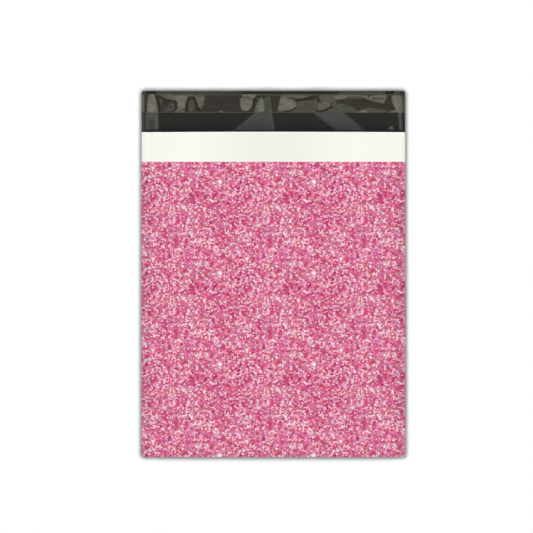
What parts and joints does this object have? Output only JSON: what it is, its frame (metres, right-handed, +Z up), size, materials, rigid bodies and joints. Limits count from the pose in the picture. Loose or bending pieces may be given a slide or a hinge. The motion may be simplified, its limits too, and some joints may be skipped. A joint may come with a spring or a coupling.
{
  "type": "poly mailer bag",
  "caption": "Flat film mailing envelope with side welds, an open mouth, a printed front, a dark inner face and a closing flap with an adhesive strip under a liner.",
  "frame": {"origin": "centre of the bag's outline, on the surface that it lies on", "axes": "+X across the width, +Y from the bottom fold to the mouth and flap, +Z up out of the printed front panel"},
  "size_m": [0.254, 0.353, 0.008],
  "materials": {
    "bag_film": "printed co-extruded film, pink outside with a white band, black inside",
    "adhesive": "clear hot-melt",
    "release_liner": "thin see-through film, lightly crinkled"
  },
  "bodies": {
    "root": {"bag_film": "bag_film", "adhesive_strip": "adhesive", "release_liner": "release_liner"}
  },
  "joints": []
}
